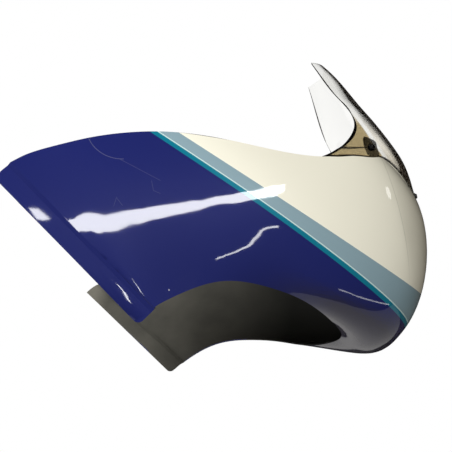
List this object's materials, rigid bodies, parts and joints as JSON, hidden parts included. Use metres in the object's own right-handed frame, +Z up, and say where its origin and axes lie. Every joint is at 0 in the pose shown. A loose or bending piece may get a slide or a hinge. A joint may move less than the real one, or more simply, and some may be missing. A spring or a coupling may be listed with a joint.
{
  "type": "motorcycle upper fairing",
  "caption": "Thin moulded nose shell with swept-back side wings and a tall narrow bubble windscreen, which shields a rider from the wind and bolts to a stay inside the nose.",
  "frame": {"origin": "middle of the four stay bosses inside the nose, in the plane of their end faces", "axes": "+X forward to the nose, +Y to the rider's left, +Z up, with the fairing as it stands on an upright motorcycle"},
  "size_m": [0.7066, 0.5778, 0.6494],
  "materials": {
    "painted_abs": "gloss paint in deep blue and white with plain stripes, bare black inside",
    "tinted_acrylic": "polished, lightly tinted clear sheet",
    "black_steel": "black oxide",
    "nylon": "satin",
    "zinc_steel": "zinc plated",
    "brass": "turned"
  },
  "bodies": {
    "root": {"fairing_shell": "painted_abs", "windscreen": "tinted_acrylic", "screen_screws": "black_steel", "screen_washers": "nylon", "screen_nuts": "zinc_steel", "stay_inserts": "brass"}
  },
  "joints": []
}
